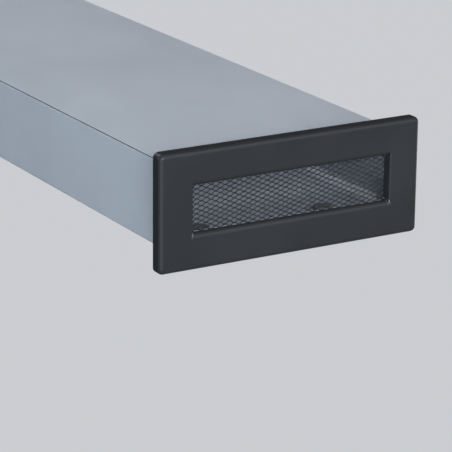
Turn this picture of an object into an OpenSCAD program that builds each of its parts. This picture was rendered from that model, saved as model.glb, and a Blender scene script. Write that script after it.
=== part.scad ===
// Ventilation grille with a pull-out front on a flat rectangular wall sleeve.
// Millimetres, +Z up, +Y into the wall. The origin lies on the sleeve axis, on the wall plane.

/* [Sleeve] */
// outside width of the sleeve
sleeve_w = 240; // [160:1:400]
// outside height of the sleeve
sleeve_h = 80; // [72:1:160]
// length of the sleeve behind the wall plane
sleeve_l = 738; // [150:1:1500]
// sheet thickness of the sleeve
sleeve_sheet = 1; // [0.6:0.1:1.5]
// outside bend radius of the long edges
bend_r = 1.8; // [1.6:0.1:3]
// width of the inward seam flanges under the cover
seam_w = 14; // [8:1:24]

/* [Wall flange] */
// sheet thickness of the flange
flange_sheet = 1; // [0.8:0.1:1.5]
// gap between the flange's rim and the inside of the front frame
rim_gap = 3; // [2:0.1:4]
// corner radius of the flange
flange_r = 3; // [1:0.5:6]
// screw hole diameter
screw_d = 4.5; // [3:0.1:5.5]
// distance of the screw holes from the level of the sleeve's top and floor
screw_inset = 10; // [8:0.5:20]

/* [Front frame] */
// how far the frame covers the wall at each side of the sleeve
cover_x = 16; // [14:0.5:30]
// how far the frame covers the wall above and below the sleeve
cover_z = 15; // [13:0.5:30]
// depth of the frame, from its face to the wall
frame_t = 12; // [10:0.5:20]
// sheet thickness of the frame
frame_sheet = 1; // [0.6:0.1:1.6]
// outside radius of the fold round the face
fold_r = 5; // [2.5:0.1:6]
// how much larger the corners are than the fold, seen from the front
corner_extra = 0.2; // [0.1:0.1:8]

/* [Window] */
// width of the rail between the collar's side wall and the window
rail_x = 14.9; // [14.5:0.1:40]
// height of the rail between the collar's top or floor and the window
rail_z = 15.8; // [14.5:0.1:25]
// sideways and upward place of the window in the frame
window_shift = 1; // [-1:0.1:1]
window_rise = 0.7; // [-1:0.1:1]
// outside fold radius at the window's left and right side
side_fold_r = 1.8; // [1.6:0.1:4]
// outside fold radius above and below the window
long_fold_r = 5; // [1.6:0.1:7]
// straight part of the flaps behind those two folds
long_flat = 2; // [0.5:0.1:4]
// room left between the side flaps and the wall plane
flap_room = 2; // [1.4:0.1:3]
// how far a flap stops short of the next one at each corner
corner_gap = 0.8; // [0.2:0.1:1.5]
// how far a fold stops short of the next one at the level of the face
slit_end = 0.2; // [0.1:0.1:0.5]
// corner radius of the flaps
flap_r = 5; // [1:0.5:6]

/* [Mesh] */
// long way of one mesh diamond, across
mesh_lwd = 9.65; // [6:0.05:14]
// short way of one mesh diamond, up
mesh_swd = 4.58; // [3.5:0.02:7]
// strand width
strand_w = 0.75; // [0.5:0.05:1]
// strand thickness
strand_t = 0.6; // [0.4:0.05:0.8]
// height of a bond, where two strands meet
bond_h = 1.2; // [1:0.05:1.6]
// length of the level part of a bond
bond_l = 1; // [0.6:0.1:2]
// room for the mesh between the flaps and the collar: the strands tilt to fill it
mesh_room = 1; // [0.9:0.05:1.2]
// play of the mesh in its room
mesh_play = 0.04; // [0.02:0.01:0.08]
// gap between the mesh and the studs
mesh_gap = 0.3; // [0.1:0.1:1]
// sideways place of the mesh in the frame
mesh_shift_x = 1.11; // [-1.5:0.01:1.5]
// upward place of the mesh in the frame
mesh_shift_z = -0.845; // [-1:0.005:1]

/* [Insert collar] */
// sheet thickness of the collar
collar_sheet = 0.8; // [0.6:0.1:1.2]
// depth of the collar inside the sleeve
collar_depth = 28; // [15:1:60]
// running clearance below the collar and its tongues
run_gap = 0.4; // [0.3:0.1:0.8]
// clearance at each side of the collar
side_gap = 1; // [0.5:0.1:2]
// clearance above the collar
top_gap = 2.4; // [0.6:0.1:4]
// outside radius of the collar's front fold
collar_fold_r = 1.8; // [1.4:0.1:3]
// how much larger the collar's long edges are rounded than its front fold
collar_corner_extra = 0.6; // [0.1:0.1:4]
// width of the tongues that carry the discs
tongue_w = 24; // [20:1:40]
// corner radius of the tongues
tongue_r = 6; // [1:0.5:9]
// tongue left in front of and behind each disc
tongue_edge = 4; // [1:0.5:8]

/* [Discs] */
// diameter of the disc magnets
disc_d = 18; // [12:0.5:20]
// thickness of the disc magnets
disc_t = 3; // [2:0.5:5]
// edge chamfer of the discs
disc_edge = 0.5; // [0.2:0.1:1]
// distance of the discs' middles from the sleeve's sides
disc_inset = 54.5; // [20:0.5:70]

/* [Fasteners] */
// thread diameter of the weld studs
stud_d = 4; // [3:0.5:5]
// length of the studs behind the collar
stud_reach = 6; // [5:0.5:8]
// how far the welded foot stands out round the stud, and its height
stud_foot = 0.7; // [0.4:0.1:1.2]
// tip chamfer of the studs
stud_tip = 0.5; // [0.2:0.1:1]
// nut width across its flats
nut_af = 7; // [5.5:0.5:8]
// nut height
nut_h = 3.2; // [2:0.1:4]
// corner chamfer of the nuts
nut_edge = 0.4; // [0.2:0.1:0.8]
// washer diameter
washer_d = 9; // [7:0.5:9.5]
// washer thickness
washer_t = 0.8; // [0.5:0.1:1.2]

/* [Clearances] */
// play round a stud inside its nut
nut_play = 0.05; // [0.02:0.01:0.1]
// play round a stud inside its washer
washer_play = 0.15; // [0.1:0.05:0.3]
// play round a stud inside the collar, and round the flaps in the collar's opening
hole_play = 0.25; // [0.1:0.05:0.5]

/* [Hidden] */
$fn = 64;
// how far a cutter runs past the sheet it cuts, and one part of a sheet into the next
over = 1;

// collar outside size and the height of its middle, which is the middle of the whole front
collar_w = sleeve_w - 2 * (sleeve_sheet + side_gap);
collar_h = sleeve_h - 2 * sleeve_sheet - run_gap - top_gap;
front_z = -sleeve_h / 2 + sleeve_sheet + run_gap + collar_h / 2;

// frame, window between the flaps, and opening in the collar's face
frame_w = sleeve_w + 2 * cover_x;
frame_h = sleeve_h + 2 * cover_z;
win_w = collar_w - 2 * rail_x;
win_h = collar_h - 2 * rail_z;
side_flap = frame_t - flap_room;
long_flap = long_fold_r + long_flat;
open_w = win_w + 2 * (frame_sheet + hole_play);
open_h = win_h + 2 * (frame_sheet + hole_play);

// levels of the front, counted from the wall plane towards the room
mesh_mid = flap_room - mesh_room / 2;
collar_face = flap_room - mesh_room;
collar_back = collar_face - collar_sheet;

// studs: in the middle of the flat strip between the collar's opening and its fold
stud_x = (open_w + collar_w - 2 * collar_fold_r) / 4;
stud_z = (open_h + collar_h - 2 * collar_fold_r) / 4;
CORNERS = [[-1, 1], [1, 1], [-1, -1], [1, -1]];

// mesh pattern: rows of zigzag strands that meet at their bonds, as many as fit between the studs
half_lwd = mesh_lwd / 2;
row_step = mesh_swd / 2;
zigzag = (row_step - bond_h + strand_w) / 2;
cols = floor(2 * stud_x / half_lwd);
mesh_reach = stud_z - stud_d / 2 - mesh_gap - zigzag - strand_w / 2;
rows_above = floor((mesh_reach - mesh_shift_z) / row_step);
rows_below = floor((mesh_reach + mesh_shift_z) / row_step);
strand_tilt = asin((mesh_room - mesh_play - strand_t) / (2 * zigzag + strand_w));

// tongues and discs
tongue_z = front_z - collar_h / 2;
tongue_l = over + disc_d + 2 * tongue_edge;
disc_x = sleeve_w / 2 - disc_inset;
disc_y = collar_depth + tongue_edge + disc_d / 2;

// wall flange: its rim keeps clear of the frame's skirt, which hangs a little low
flange_w = frame_w - 2 * (frame_sheet + rim_gap);
flange_h = frame_h - 2 * (frame_sheet + rim_gap);
screw_x = (sleeve_w + flange_w) / 4;
screw_z = sleeve_h / 2 - screw_inset;

black = [0.16, 0.17, 0.18];
zinc = [0.62, 0.65, 0.68];
ferrite = [0.2, 0.21, 0.22];

// Stands a piece up that was drawn lying on its back: its +Z turns to the room.
module stand() {
  translate([0, 0, front_z]) rotate([90, 0, 0]) children();
}

// Rectangle with round corners, in the middle of the drawing plane.
module rounded_rect(w, h, r) {
  square([w - 2 * r, h], center = true);
  square([w, h - 2 * r], center = true);
  for (sx = [-1, 1], sy = [-1, 1]) {
    translate([sx * (w / 2 - r), sy * (h / 2 - r)]) circle(r);
  }
}

// Quarter of a sheet bend about the drawing's zero point, bulging to +X and +Y.
module bend(r, t) {
  intersection() {
    difference() {
      circle(r);
      circle(r - t);
    }
    square(r);
  }
}

// Carries a section round a rectangle: its X is counted from the corner's axis.
module around(w, h, r) {
  for (q = [0 : 3]) {
    sx = q == 0 || q == 3 ? 1 : -1;
    sy = q < 2 ? 1 : -1;
    run = q % 2 == 0 ? h - 2 * r : w - 2 * r;
    translate([sx * (w / 2 - r), sy * (h / 2 - r), 0]) rotate([0, 0, 90 * q]) {
      rotate_extrude(angle = 90) children();
      rotate([90, 0, 0]) linear_extrude(run) children();
    }
  }
}

// Shallow pressed tray: a plate with a folded edge and a skirt that runs back.
module tray(w, h, fold, extra, t, top, bottom) {
  corner = fold + extra;
  translate([0, 0, top - t]) linear_extrude(t) rounded_rect(w - 2 * fold, h - 2 * fold, extra);
  around(w, h, corner) {
    translate([extra, top - fold]) bend(fold, t);
    translate([corner - t, bottom]) square([t, top - fold - bottom]);
  }
}

// One returned flap with round corners, drawn for the right side of the window. Its fold is
// mitred towards the next folds, and the slit between them narrows towards the face.
module flap(side, depth, fold, next_fold) {
  half = side / 2 - corner_gap;
  fold_half = side / 2 - slit_end + next_fold;
  translate([0, 0, frame_t - fold]) intersection() {
    translate([fold, fold_half, 0]) rotate([90, 0, 0]) {
      linear_extrude(2 * fold_half) mirror([1, 0]) bend(fold, frame_sheet);
    }
    linear_extrude(fold) polygon([[0, -half], [fold, -fold_half], [fold, fold_half], [0, half]]);
  }
  rotate([0, 90, 0]) linear_extrude(frame_sheet) translate([-frame_t, 0]) intersection() {
    rounded_rect(2 * depth, 2 * half, min(flap_r, depth / 2));
    translate([fold, -half]) square([depth - fold, 2 * half]);
  }
}

module front_frame() {
  cut_w = win_w + 2 * side_fold_r;
  cut_h = win_h + 2 * long_fold_r;
  color(black) stand() {
    difference() {
      tray(frame_w, frame_h, fold_r, corner_extra, frame_sheet, frame_t, 0);
      translate([window_shift, window_rise, frame_t - frame_sheet - over]) {
        linear_extrude(frame_sheet + 2 * over) square([cut_w, cut_h], center = true);
      }
    }
    translate([window_shift, window_rise, 0]) for (turn = [0, 180]) {
      rotate([0, 0, turn]) translate([win_w / 2, 0, 0]) {
        flap(win_h, side_flap, side_fold_r, long_fold_r);
      }
      rotate([0, 0, turn + 90]) translate([win_h / 2, 0, 0]) {
        flap(win_w, long_flap, long_fold_r, side_fold_r);
      }
    }
  }
}

// Edge of one zigzag strand: side is 1 for its upper edge and -1 for its lower one.
function strand_edge(row, side) = [
  for (k = [0 : cols], e = [-1, 1])
    let (peak = (row + k) % 2 == 0 ? 1 : -1,
         x = (k - cols / 2) * half_lwd + e * bond_l / 2,
         end = cols * half_lwd / 2)
      [max(min(x, end), -end), peak * zigzag + side * strand_w / 2]
];

function reversed(list) = [for (k = [len(list) - 1 : -1 : 0]) list[k]];

module strand_row(row) {
  rotate([strand_tilt, 0, 0]) translate([0, 0, -strand_t / 2]) linear_extrude(strand_t) {
    polygon(concat(strand_edge(row, 1), reversed(strand_edge(row, -1))));
  }
}

module mesh() {
  color(black) stand() translate([mesh_shift_x, mesh_shift_z, mesh_mid]) {
    for (row = [-rows_below : rows_above]) {
      translate([0, row * row_step, 0]) strand_row(row);
    }
  }
}

module tongue() {
  half = tongue_w / 2 - tongue_r;
  translate([-tongue_w / 2, 0]) square([tongue_w, tongue_l - tongue_r]);
  translate([-half, 0]) square([2 * half, tongue_l]);
  for (x = [-half, half]) {
    translate([x, tongue_l - tongue_r]) circle(tongue_r);
  }
}

module insert_collar() {
  color(zinc) {
    stand() difference() {
      tray(collar_w, collar_h, collar_fold_r, collar_corner_extra, collar_sheet,
           collar_face, -collar_depth);
      translate([0, 0, collar_back - over]) linear_extrude(collar_sheet + 2 * over) {
        translate([window_shift, window_rise]) square([open_w, open_h], center = true);
        for (c = CORNERS) {
          translate([c[0] * stud_x, c[1] * stud_z]) circle(stud_d / 2 + hole_play);
        }
      }
    }
    for (x = [-disc_x, disc_x]) {
      translate([x, collar_depth - over, tongue_z]) linear_extrude(collar_sheet) tongue();
    }
  }
}

module at_stud(n) {
  stand() translate([CORNERS[n - 1][0] * stud_x, CORNERS[n - 1][1] * stud_z, 0]) children();
}

module stud(n) {
  top = frame_t - frame_sheet;
  bottom = collar_back - stud_reach;
  r = stud_d / 2;
  foot_r = r + stud_foot;
  color(zinc) at_stud(n) rotate_extrude() {
    polygon([[0, bottom], [r - stud_tip, bottom], [r, bottom + stud_tip], [r, top - stud_foot],
             [foot_r, top - stud_foot], [foot_r, top], [0, top]]);
  }
}

module washer(n) {
  color(zinc) at_stud(n) translate([0, 0, collar_back - washer_t]) linear_extrude(washer_t) {
    difference() {
      circle(d = washer_d);
      circle(stud_d / 2 + washer_play);
    }
  }
}

module nut(n) {
  wide = nut_af / cos(30);
  color(zinc) at_stud(n) translate([0, 0, collar_back - washer_t - nut_h]) difference() {
    intersection() {
      cylinder(h = nut_h, d = wide, $fn = 6);
      union() {
        cylinder(h = nut_edge, r1 = wide / 2 - 2 * nut_edge, r2 = wide / 2);
        translate([0, 0, nut_edge]) cylinder(h = nut_h - nut_edge, r = wide / 2 + nut_edge);
      }
    }
    translate([0, 0, -over]) cylinder(h = nut_h + 2 * over, r = stud_d / 2 + nut_play);
  }
}

module disc(sx) {
  color(ferrite) translate([sx * disc_x, disc_y, tongue_z + collar_sheet]) {
    cylinder(h = disc_t - disc_edge, d = disc_d);
    translate([0, 0, disc_t - disc_edge]) {
      cylinder(h = disc_edge, r1 = disc_d / 2, r2 = disc_d / 2 - disc_edge);
    }
  }
}

// Carries a section along the sleeve, from the front of the flange to the far end.
module along_sleeve() {
  translate([0, sleeve_l, 0]) rotate([90, 0, 0]) linear_extrude(sleeve_l + flange_sheet) children();
}

module sleeve_trough() {
  h = sleeve_h - sleeve_sheet;
  color(zinc) along_sleeve() translate([0, -sleeve_sheet / 2]) difference() {
    rounded_rect(sleeve_w, h, bend_r);
    rounded_rect(sleeve_w - 2 * sleeve_sheet, h - 2 * sleeve_sheet, bend_r - sleeve_sheet);
    translate([0, h / 2]) {
      square([sleeve_w - 2 * (sleeve_sheet + seam_w), 2 * (sleeve_sheet + over)], center = true);
    }
  }
}

module sleeve_cover() {
  color(zinc) along_sleeve() translate([0, (sleeve_h - sleeve_sheet) / 2]) {
    square([sleeve_w, sleeve_sheet], center = true);
  }
}

module wall_flange() {
  color(zinc) rotate([90, 0, 0]) linear_extrude(flange_sheet) difference() {
    rounded_rect(flange_w, flange_h, flange_r);
    square([sleeve_w, sleeve_h], center = true);
    for (c = CORNERS) {
      translate([c[0] * screw_x, c[1] * screw_z]) circle(d = screw_d);
    }
  }
}

front_frame();
mesh();
insert_collar();
stud(1);  // stud_1
stud(2);  // stud_2
stud(3);  // stud_3
stud(4);  // stud_4
washer(1);  // washer_1
washer(2);  // washer_2
washer(3);  // washer_3
washer(4);  // washer_4
nut(1);  // nut_1
nut(2);  // nut_2
nut(3);  // nut_3
nut(4);  // nut_4
disc(-1);  // disc_left
disc(1);  // disc_right
sleeve_trough();
sleeve_cover();
wall_flange();
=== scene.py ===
import math

import bmesh
import bpy
import numpy as np
from mathutils import Matrix, Vector


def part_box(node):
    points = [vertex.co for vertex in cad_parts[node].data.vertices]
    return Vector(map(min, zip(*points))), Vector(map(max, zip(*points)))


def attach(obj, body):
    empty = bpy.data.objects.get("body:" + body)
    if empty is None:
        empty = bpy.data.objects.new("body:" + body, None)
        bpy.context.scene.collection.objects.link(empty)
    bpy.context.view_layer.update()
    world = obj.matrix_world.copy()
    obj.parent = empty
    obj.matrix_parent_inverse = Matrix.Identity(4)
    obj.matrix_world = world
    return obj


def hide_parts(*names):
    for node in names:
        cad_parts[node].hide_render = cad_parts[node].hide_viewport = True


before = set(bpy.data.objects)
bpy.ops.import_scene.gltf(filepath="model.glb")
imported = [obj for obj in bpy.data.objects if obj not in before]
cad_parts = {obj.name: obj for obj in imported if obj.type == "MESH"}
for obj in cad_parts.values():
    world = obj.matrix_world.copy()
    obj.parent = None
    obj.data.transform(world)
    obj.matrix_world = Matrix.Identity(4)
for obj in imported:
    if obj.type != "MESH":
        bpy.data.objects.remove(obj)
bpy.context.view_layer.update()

MM = 0.001

# Expanded metal: pitches, strand and bond of the solid model
LONG_WAY, SHORT_WAY = 9.65 * MM, 4.58 * MM
STRAND_W, STRAND_T = 0.75 * MM, 0.6 * MM
BOND_H = 1.2 * MM

# Ribbon that is shown for each strand: its section, the points round it and along half a
# diamond, and how round its bends are
RIBBON_W, RIBBON_T = 0.86 * MM, 0.34 * MM
RIBBON_SIDES, RIBBON_STEPS = 10, 10
RIBBON_BEND = 0.9

# Window of the front frame: its middle, half its opening, and the folds and slits in its corners
WINDOW_X, WINDOW_Z = 1.0 * MM, -0.3 * MM
WINDOW_HALF_W, WINDOW_HALF_H = 103.1 * MM, 21.8 * MM
SIDE_FOLD_R, LONG_FOLD_R = 1.8 * MM, 5.0 * MM
CORNER_GAP, SLIT_END = 0.8 * MM, 0.2 * MM

# Coat worn off the cuts in those corners, plus a painted glint on the lower cuts: its width, the
# play round the folds, and how much uncoated steel shows near the window, further up the lower
# cuts, and elsewhere
WORN_W, WORN_PLAY = 0.6 * MM, 0.1 * MM
WORN_AND_GLINT_NEAR, WORN_AND_GLINT_FAR, WORN_LEAST = 0.55, 0.10, 0.05
FADE_START, FADE_END = 0.2 * LONG_FOLD_R, 0.7 * LONG_FOLD_R

# Rim of the front frame, with the outer fold and the skirts that get painted shade: beyond these
# distances from its middle
FRAME_Z = -1.0 * MM
RIM_X, RIM_Z = 125.0 * MM, 45.0 * MM

# Stud: its thread, the plain length before the thread, and the chamfer at its tip
THREAD_D, THREAD_PITCH, THREAD_DEPTH = 4.0 * MM, 0.7 * MM, 0.3 * MM
PLAIN_H, TIP_H = 0.4 * MM, 0.5 * MM
FOOT_STEP = 0.02 * MM
STUD_SIDES = 24

# Camera, found from the edges in the photograph
CAMERA_PLACE = (-1.11236, -1.78650, 0.63358)
CAMERA_YAW, CAMERA_PITCH, CAMERA_ROLL = 30.4539, 17.6018, 0.555
LENS, SENSOR = 195.0, 36.0

# Colours
COAT_DARK, COAT_LIGHT = (0.0265, 0.0275, 0.0295), (0.0325, 0.0335, 0.036)
# Painted shade on the skirts of the front frame
COAT_SKIRT_SHADE = (0.0180, 0.0190, 0.0205)
# Uncoated steel on the worn corner cuts, also a painted glint on the lower cuts
BARE_STEEL_GLINT = (0.34, 0.35, 0.36)
MESH_DARK, MESH_LIGHT = (0.024, 0.025, 0.0265), (0.029, 0.030, 0.0315)
ZINC_DARK, ZINC_LIGHT = (0.44, 0.465, 0.505), (0.50, 0.525, 0.565)
ZINC_EDGE = (0.16, 0.18, 0.20)
PLATED_DARK, PLATED_LIGHT = (0.42, 0.44, 0.47), (0.62, 0.63, 0.62)
FERRITE_DARK, FERRITE_LIGHT = (0.120, 0.122, 0.123), (0.160, 0.162, 0.164)
ROOM_DARK, ROOM_DIM = (0.02, 0.02, 0.02), (0.12, 0.12, 0.12)
FLOOR_DARK, FLOOR_LIGHT = (0.30, 0.31, 0.32), (0.5, 0.5, 0.5)
BACKDROP = (0.597, 0.610, 0.638)
FLOOR_GLOW = (0.643, 0.657, 0.688)

# Lamp colours
COOL, SKY, BLUE = (0.90, 0.945, 1.0), (0.80, 0.91, 1.0), (0.70, 0.87, 1.0)

# Floor: its height, half its size, and its share of glow. The pale backdrop shows weakly in
# reflections.
FLOOR_Z, FLOOR_HALF = -2.6, 20.0
GLOW_SHARE, MIRRORED = 0.92, 0.1


# Shader helpers

def new_material(name):
    mat = bpy.data.materials.new(name)
    mat.use_nodes = True
    tree = mat.node_tree
    return mat, tree, tree.nodes["Principled BSDF"]


def node(tree, kind, inputs=None, **props):
    made = tree.nodes.new(kind)
    for key, value in props.items():
        setattr(made, key, value)
    for key, value in (inputs or {}).items():
        if isinstance(value, bpy.types.NodeSocket):
            tree.links.new(value, made.inputs[key])
        else:
            made.inputs[key].default_value = value
    return made


def noise(tree, coords, scale, detail, roughness=0.5):
    made = node(tree, "ShaderNodeTexNoise",
                {"Vector": coords, "Scale": scale, "Detail": detail, "Roughness": roughness})
    return made.outputs["Fac"]


def ramp(tree, value, first, last, start=0.3, end=0.7):
    """From the first colour to the last while the value goes from start to end."""
    made = node(tree, "ShaderNodeValToRGB", {"Fac": value})
    for element, place, colour in zip(made.color_ramp.elements, (start, end), (first, last)):
        element.position = place
        element.color = (*colour, 1.0)
    return made.outputs["Color"]


def spread(tree, value, low, high, start=0.3, end=0.7):
    """From low to high while the value goes from start to end."""
    made = node(tree, "ShaderNodeMapRange",
                {"Value": value, "From Min": start, "From Max": end, "To Min": low, "To Max": high})
    return made.outputs["Result"]


def math_node(tree, operation, first, second=0.0):
    return node(tree, "ShaderNodeMath", {0: first, 1: second}, operation=operation).outputs["Value"]


def product(tree, *factors):
    total = factors[0]
    for factor in factors[1:]:
        total = math_node(tree, "MULTIPLY", total, factor)
    return total


def distance(tree, value, middle):
    return math_node(tree, "ABSOLUTE", math_node(tree, "SUBTRACT", value, middle))


def mixed(tree, factor, first, second):
    """Two colours mixed. Each is a socket or three numbers."""
    colours = {key: value if isinstance(value, bpy.types.NodeSocket) else (*value, 1.0)
               for key, value in ((6, first), (7, second))}
    made = node(tree, "ShaderNodeMix", {0: factor, **colours}, data_type="RGBA", blend_type="MIX")
    return made.outputs[2]


def bump(tree, height, strength, distance, normal=None):
    made = node(tree, "ShaderNodeBump",
                {"Height": height, "Strength": strength, "Distance": distance})
    if normal is not None:
        tree.links.new(normal, made.inputs["Normal"])
    return made.outputs["Normal"]


def object_coords(tree):
    return node(tree, "ShaderNodeTexCoord").outputs["Object"]


def axes(tree, vector):
    return node(tree, "ShaderNodeSeparateXYZ", {"Vector": vector}).outputs


def facing(tree, axis):
    """How much a face looks along an axis, either way, 0 to 1."""
    normal = node(tree, "ShaderNodeTexCoord").outputs["Normal"]
    return math_node(tree, "ABSOLUTE", axes(tree, normal)[axis])


# Materials

def worn_cuts_and_glint(tree, coords):
    """How far uncoated steel shows along the mitred cuts in the window's corners, 0 to 1: worn
    coat, with a painted glint near the window on the lower cuts.
    """
    place = axes(tree, coords)
    side = math_node(tree, "SUBTRACT", distance(tree, place["X"], WINDOW_X), WINDOW_HALF_W)
    rise = math_node(tree, "SUBTRACT", distance(tree, place["Z"], WINDOW_Z), WINDOW_HALF_H)
    worn = product(tree,
                   math_node(tree, "LESS_THAN", rise, LONG_FOLD_R + WORN_PLAY),
                   math_node(tree, "LESS_THAN", side, SIDE_FOLD_R + WORN_PLAY),
                   math_node(tree, "GREATER_THAN", rise, -CORNER_GAP),
                   math_node(tree, "GREATER_THAN", side, -CORNER_GAP - WORN_W))
    for (side_0, rise_0), (side_1, rise_1), turn in (
            ((0.0, -CORNER_GAP), (SIDE_FOLD_R, LONG_FOLD_R - SLIT_END), 1.0),
            ((-CORNER_GAP, 0.0), (SIDE_FOLD_R - SLIT_END, LONG_FOLD_R), -1.0)):
        length = math.hypot(side_1 - side_0, rise_1 - rise_0)
        across, along = turn * (rise_1 - rise_0) / length, turn * (side_1 - side_0) / length
        away = math_node(tree, "SUBTRACT", product(tree, side, across), product(tree, rise, along))
        limit = WORN_W + side_0 * across - rise_0 * along
        worn = product(tree, worn, math_node(tree, "LESS_THAN", away, limit))
    # Painted glint: more uncoated steel near the window on the lower cuts
    low = math_node(tree, "LESS_THAN", place["Z"], 0.0)
    fade = spread(tree, rise, WORN_AND_GLINT_NEAR, WORN_AND_GLINT_FAR, FADE_START, FADE_END)
    level = math_node(tree, "MAXIMUM", product(tree, low, fade), WORN_LEAST)
    return product(tree, worn, level)


def shaded_skirt_faces(tree, coords):
    """Painted shade: 1 on the skirts that run back from the frame's face, fading out in the outer
    fold.
    """
    place = axes(tree, coords)
    side = math_node(tree, "GREATER_THAN", math_node(tree, "ABSOLUTE", place["X"]), RIM_X)
    rise = math_node(tree, "GREATER_THAN", distance(tree, place["Z"], FRAME_Z), RIM_Z)
    rim = math_node(tree, "MAXIMUM", side, rise)
    upright = spread(tree, facing(tree, "Y"), low=1.0, high=0.0, start=0.2, end=0.8)
    return product(tree, rim, upright)


def powder_coat(name, dark, light, roughness, gloss, bare_and_glint=None, skirt_shade=None):
    """Satin powder coat: soft clouds of tone and gloss, orange peel and a fine grain. Where given,
    painted shade darkens the skirts, and uncoated steel shows on the corner cuts, partly as wear
    and partly as a painted glint.
    """
    mat, tree, shader = new_material(name)
    coords = object_coords(tree)
    clouds = noise(tree, coords, scale=14.0, detail=4.0)
    peel = noise(tree, coords, scale=900.0, detail=2.0)
    grains = noise(tree, coords, scale=2600.0, detail=1.0)
    colour = ramp(tree, clouds, dark, light)
    # Painted shade: a darker coat on the skirts that run back from the face
    if skirt_shade:
        colour = mixed(tree, shaded_skirt_faces(tree, coords), colour, skirt_shade)
    # Uncoated steel on the corner cuts: partly wear, partly a painted glint
    if bare_and_glint:
        colour = mixed(tree, worn_cuts_and_glint(tree, coords), colour, bare_and_glint)
    rough = spread(tree, clouds, low=roughness - 0.04, high=roughness + 0.04)
    coarse = bump(tree, peel, strength=0.12, distance=0.2 * MM)
    fine = bump(tree, grains, strength=0.10, distance=0.08 * MM, normal=coarse)
    tree.links.new(colour, shader.inputs["Base Color"])
    tree.links.new(rough, shader.inputs["Roughness"])
    tree.links.new(fine, shader.inputs["Normal"])
    shader.inputs["Specular IOR Level"].default_value = gloss
    return mat


def galvanised(name, roughness, edge=None):
    """Galvanised sheet: soft clouds along the roll, faint crystal patches, fine rolling lines.

    The edge colour goes on the faces that look sideways.
    """
    mat, tree, shader = new_material(name)
    coords = object_coords(tree)
    clouds = noise(tree, coords, scale=6.0, detail=5.0, roughness=0.6)
    stretched = node(tree, "ShaderNodeMapping", {"Vector": coords, "Scale": (60.0, 3.0, 60.0)})
    lines = noise(tree, stretched.outputs["Vector"], scale=9.0, detail=4.0)
    crystals = node(tree, "ShaderNodeTexVoronoi",
                    {"Vector": coords, "Scale": 110.0, "Randomness": 1.0})
    patches = node(tree, "ShaderNodeRGBToBW", {"Color": crystals.outputs["Color"]}).outputs["Val"]
    flecks = spread(tree, patches, low=0.0, high=0.16, start=0.0, end=1.0)
    colour = mixed(tree, flecks, ramp(tree, clouds, ZINC_DARK, ZINC_LIGHT), ZINC_LIGHT)
    colour = mixed(tree, spread(tree, lines, low=0.0, high=0.12), colour, ZINC_DARK)
    if edge:
        sideways = math_node(tree, "GREATER_THAN", facing(tree, "X"), 0.7)
        colour = mixed(tree, sideways, colour, edge)
    rough = math_node(tree, "ADD", spread(tree, patches, low=-0.03, high=0.03, start=0.0, end=1.0),
                      spread(tree, clouds, low=roughness - 0.04, high=roughness + 0.05))
    tree.links.new(colour, shader.inputs["Base Color"])
    tree.links.new(rough, shader.inputs["Roughness"])
    tree.links.new(bump(tree, lines, strength=0.04, distance=0.1 * MM), shader.inputs["Normal"])
    shader.inputs["Metallic"].default_value = 0.15
    return mat


def bright_zinc(name):
    """Zinc plate of small fasteners: uncoated metal with soft stains."""
    mat, tree, shader = new_material(name)
    stains = noise(tree, object_coords(tree), scale=260.0, detail=4.0)
    tree.links.new(ramp(tree, stains, PLATED_DARK, PLATED_LIGHT), shader.inputs["Base Color"])
    tree.links.new(spread(tree, stains, low=0.24, high=0.38), shader.inputs["Roughness"])
    tree.links.new(bump(tree, stains, strength=0.05, distance=0.05 * MM), shader.inputs["Normal"])
    shader.inputs["Metallic"].default_value = 1.0
    return mat


def ferrite(name):
    """Sintered magnet: matt and dark with fine pores."""
    mat, tree, shader = new_material(name)
    pores = noise(tree, object_coords(tree), scale=1500.0, detail=3.0)
    colour = ramp(tree, pores, FERRITE_DARK, FERRITE_LIGHT, start=0.35, end=0.65)
    tree.links.new(colour, shader.inputs["Base Color"])
    tree.links.new(spread(tree, pores, low=0.5, high=0.7), shader.inputs["Roughness"])
    tree.links.new(bump(tree, pores, strength=0.15, distance=0.05 * MM), shader.inputs["Normal"])
    return mat


# The frame's coat gets painted shade on its skirts and a painted glint on its lower corner cuts
coat = powder_coat("front_coat", COAT_DARK, COAT_LIGHT, roughness=0.38, gloss=0.20,
                   bare_and_glint=BARE_STEEL_GLINT, skirt_shade=COAT_SKIRT_SHADE)
mesh_coat = powder_coat("mesh_coat", MESH_DARK, MESH_LIGHT, roughness=0.7, gloss=0.06)
zinc_sheet = galvanised("sleeve_zinc", roughness=0.62)
zinc_cover = galvanised("cover_zinc", roughness=0.62, edge=ZINC_EDGE)
zinc_inner = galvanised("collar_zinc", roughness=0.55)
zinc_bright = bright_zinc("fastener_zinc")
magnet = ferrite("magnet_ferrite")

# Every node that isn't listed is a fastener
FINISH = {"front_frame": coat, "mesh": mesh_coat, "insert_collar": zinc_inner,
          "disc_left": magnet, "disc_right": magnet,
          "sleeve_trough": zinc_sheet, "sleeve_cover": zinc_cover, "wall_flange": zinc_sheet}


def dress(obj, mat):
    obj.data.materials.clear()
    obj.data.materials.append(mat)


for name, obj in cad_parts.items():
    dress(obj, FINISH.get(name, zinc_bright))


# Modelled pieces

def mesh_object(name, points, faces, mat, replaced):
    """A smooth piece on the front body, in place of a CAD node."""
    data = bpy.data.meshes.new(name)
    data.from_pydata([tuple(p) for p in points], [], [tuple(f) for f in faces])
    data.shade_smooth()
    obj = bpy.data.objects.new(name, data)
    bpy.context.scene.collection.objects.link(obj)
    dress(obj, mat)
    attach(obj, "front")
    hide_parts(replaced)
    return obj


def tube_faces(rings, sides, first):
    """Quads between rings of points, with a cap at each end."""
    faces = []
    for i in range(rings - 1):
        low = first + i * sides
        for j in range(sides):
            k = (j + 1) % sides
            faces.append((low + j, low + k, low + sides + k, low + sides + j))
    faces.append([first + j for j in reversed(range(sides))])
    faces.append([first + (rings - 1) * sides + j for j in range(sides)])
    return faces


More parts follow.
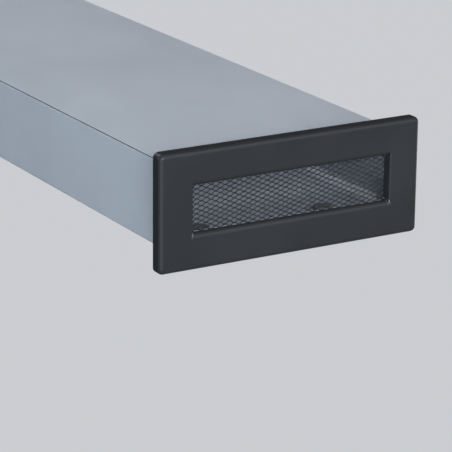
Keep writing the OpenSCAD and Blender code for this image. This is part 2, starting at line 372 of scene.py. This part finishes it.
def rounded_section(width, thickness, sides, squareness=3.2):
    """Points round a soft-cornered ribbon section, as (across the strand, through the sheet)."""
    turn = (np.arange(sides) + 0.5) * 2.0 * math.pi / sides
    power = 2.0 / squareness
    across = np.sign(np.cos(turn)) * np.abs(np.cos(turn)) ** power
    through = np.sign(np.sin(turn)) * np.abs(np.sin(turn)) ** power
    return np.stack([across * width / 2.0, through * thickness / 2.0], axis=1)


def expanded_metal():
    """One ribbon a row, swept along a zigzag with round bends. Neighbours meet in the bonds."""
    low, high = (np.array(v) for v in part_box("mesh"))
    middle = (low + high) / 2.0
    half_way, row_step = LONG_WAY / 2.0, SHORT_WAY / 2.0
    zigzag = (row_step - BOND_H + STRAND_W) / 2.0
    cols = round((high[0] - low[0]) / half_way)
    rows = round((high[2] - low[2] - 2.0 * zigzag - STRAND_W) / row_step) + 1
    tilt = math.asin((high[1] - low[1] - STRAND_T) / (2.0 * zigzag + STRAND_W))
    along = np.linspace(0.0, cols * half_way, cols * RIBBON_STEPS + 1)
    wave = np.sin(RIBBON_BEND * np.cos(along * math.pi / half_way)) / math.sin(RIBBON_BEND)
    rise = zigzag * wave
    heading = np.arctan(np.gradient(rise, along))
    section = rounded_section(RIBBON_W, RIBBON_T, RIBBON_SIDES)
    points, faces = [], []
    for row in range(rows):
        turned = 1.0 if row % 2 == 0 else -1.0
        level = (row - (rows - 1) / 2.0) * row_step
        first = len(points)
        for x, z, angle in zip(along - along[-1] / 2.0, rise * turned, heading * turned):
            for across, through in section:
                up = z + across * math.cos(angle)
                points.append((middle[0] + x - across * math.sin(angle),
                               middle[1] - through * math.cos(tilt) + up * math.sin(tilt),
                               middle[2] + level + up * math.cos(tilt) + through * math.sin(tilt)))
        faces += tube_faces(len(along), RIBBON_SIDES, first)
    mesh_object("expanded_metal", points, faces, mesh_coat, "mesh")


def threaded_stud(number):
    """The stud with its rolled thread, from its foot on the frame's back to its chamfered tip."""
    name = f"stud_{number}"
    low, high = (np.array(v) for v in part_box(name))
    cx, cz = (low[0] + high[0]) / 2.0, (low[2] + high[2]) / 2.0
    foot_y, tip_y = low[1], high[1]
    foot_r, outer = (high[0] - low[0]) / 2.0, THREAD_D / 2.0
    foot_h = foot_r - outer
    start = foot_y + foot_h + PLAIN_H
    levels = [foot_y, foot_y + foot_h, foot_y + foot_h + FOOT_STEP]
    levels += list(np.arange(start, tip_y, THREAD_PITCH / STUD_SIDES)) + [tip_y]
    points = []
    for y in levels:
        for j in range(STUD_SIDES):
            phase = ((y - start) / THREAD_PITCH - j / STUD_SIDES) % 1.0
            groove = THREAD_DEPTH * abs(2.0 * phase - 1.0)
            fade = min(1.0, max(0.0, (y - start) / THREAD_PITCH))
            r = foot_r if y <= foot_y + foot_h else outer - groove * fade
            if tip_y - y < TIP_H:
                r = min(r, outer - TIP_H + (tip_y - y))
            turn = 2.0 * math.pi * j / STUD_SIDES
            points.append((cx + r * math.cos(turn), y, cz + r * math.sin(turn)))
    faces = [f[::-1] for f in tube_faces(len(levels), STUD_SIDES, 0)]
    mesh_object(f"threaded_{name}", points, faces, zinc_bright, name)


expanded_metal()
for number in (1, 2, 3, 4):
    threaded_stud(number)


# Camera, room, floor and lamps

def aim_camera():
    yaw, pitch, roll = (math.radians(v) for v in (CAMERA_YAW, CAMERA_PITCH, CAMERA_ROLL))
    ahead = Vector((math.sin(yaw) * math.cos(pitch), math.cos(yaw) * math.cos(pitch),
                    -math.sin(pitch)))
    right = Vector((math.cos(yaw), -math.sin(yaw), 0.0))
    up = right.cross(ahead)
    across = math.cos(roll) * right + math.sin(roll) * up
    upward = math.cos(roll) * up - math.sin(roll) * right
    data = bpy.data.cameras.new("camera")
    data.sensor_width = SENSOR
    data.lens = LENS
    data.clip_start = 0.05
    data.clip_end = 40.0
    cam = bpy.data.objects.new("camera", data)
    rows = [(across[i], upward[i], -ahead[i], CAMERA_PLACE[i]) for i in range(3)]
    cam.matrix_world = Matrix(rows + [(0.0, 0.0, 0.0, 1.0)])
    scene = bpy.context.scene
    scene.collection.objects.link(cam)
    scene.camera = cam
    scene.view_settings.view_transform = "Standard"


def seen_share(tree):
    """1 where the camera sees the backdrop, straight or through something, less in reflections."""
    path = node(tree, "ShaderNodeLightPath").outputs
    straight = math_node(tree, "MAXIMUM", path["Is Camera Ray"], path["Is Transmission Ray"])
    return math_node(tree, "MAXIMUM", straight, product(tree, path["Is Glossy Ray"], MIRRORED))


def set_world():
    """A dim room that is lighter in front of the object, with the pale backdrop for the camera."""
    world = bpy.data.worlds.new("studio")
    bpy.context.scene.world = world
    world.use_nodes = True
    tree = world.node_tree
    tree.nodes.clear()
    depth = axes(tree, node(tree, "ShaderNodeTexCoord").outputs["Generated"])["Y"]
    room = ramp(tree, spread(tree, depth, low=0.0, high=1.0, start=-0.15, end=0.15),
                ROOM_DIM, ROOM_DARK, start=0.0, end=1.0)
    lit = node(tree, "ShaderNodeBackground", {"Color": room, "Strength": 1.0})
    seen = node(tree, "ShaderNodeBackground", {"Color": (*BACKDROP, 1.0), "Strength": 1.0})
    both = node(tree, "ShaderNodeMixShader", {0: seen_share(tree), 1: lit.outputs["Background"],
                                              2: seen.outputs["Background"]})
    node(tree, "ShaderNodeOutputWorld", {"Surface": both.outputs["Shader"]})


def pale_floor():
    mat, tree, shader = new_material("floor_paint")
    clouds = noise(tree, object_coords(tree), scale=1.5, detail=3.0)
    tint = mixed(tree, spread(tree, clouds, low=0.0, high=0.02), FLOOR_DARK, FLOOR_LIGHT)
    tree.links.new(tint, shader.inputs["Base Color"])
    shader.inputs["Roughness"].default_value = 0.9
    glow = node(tree, "ShaderNodeEmission", {"Color": (*FLOOR_GLOW, 1.0), "Strength": 1.0})
    share = product(tree, seen_share(tree), GLOW_SHARE)
    both = node(tree, "ShaderNodeMixShader", {0: share, 1: shader.outputs["BSDF"],
                                              2: glow.outputs["Emission"]})
    tree.links.new(both.outputs["Shader"], tree.nodes["Material Output"].inputs["Surface"])
    grid = bmesh.new()
    bmesh.ops.create_grid(grid, x_segments=8, y_segments=8, size=FLOOR_HALF)
    data = bpy.data.meshes.new("floor")
    grid.to_mesh(data)
    grid.free()
    floor = bpy.data.objects.new("floor", data)
    floor.location = (0.0, 0.0, FLOOR_Z)
    bpy.context.scene.collection.objects.link(floor)
    dress(floor, mat)


def soft_lamp(name, place, target, size, power, colour=COOL, beam=180.0):
    data = bpy.data.lights.new(name, "AREA")
    data.shape = "RECTANGLE"
    data.size, data.size_y = size
    data.energy = power
    data.color = colour
    data.spread = math.radians(beam)
    lamp = bpy.data.objects.new(name, data)
    lamp.location = place
    lamp.visible_camera = False
    lamp.rotation_euler = (Vector(target) - Vector(place)).to_track_quat("-Z", "Y").to_euler()
    bpy.context.scene.collection.objects.link(lamp)


aim_camera()
set_world()
pale_floor()

# In front of the object
soft_lamp("key", (1.5, -1.9, 1.7), target=(0.0, 0.0, 0.0), size=(1.4, 1.4), power=15.0)
soft_lamp("front", (-0.3, -2.7, 1.2), target=(0.0, 0.0, 0.0), size=(1.4, 1.0), power=68.0)
soft_lamp("near", (-1.1, -2.6, 0.75), target=(0.0, 0.0, 0.0), size=(1.0, 1.0), power=30.0)
soft_lamp("fill", (-1.9, -2.1, -0.72), target=(0.0, 0.0, 0.0), size=(2.4, 0.8),
          power=27.0, colour=SKY)

# Over the sleeve and at its sides
soft_lamp("overhead", (-0.9, 1.8, 1.9), target=(0.0, 0.6, 0.0), size=(1.8, 1.6), power=39.5)
soft_lamp("side", (-2.6, 0.5, 0.7), target=(0.0, 0.3, 0.0), size=(1.8, 1.2),
          power=21.2, colour=BLUE)
soft_lamp("right", (2.8, 0.5, -0.3), target=(0.0, 0.3, 0.0), size=(1.6, 1.0), power=14.0)

# Inside the duct, for the light that comes in at its open far end
soft_lamp("duct", (0.0, 0.40, 0.037), target=(0.0, 0.40, -0.04), size=(0.23, 0.62),
          power=0.075, beam=35.0)
soft_lamp("duct_front", (0.0, 0.016, 0.0345), target=(0.0, 0.016, -0.04), size=(0.2, 0.022),
          power=0.002, beam=100.0)
soft_lamp("duct_foot", (0.112, 0.17, -0.034), target=(0.12, 0.17, -0.034), size=(0.28, 0.010),
          power=0.0018, beam=24.0)
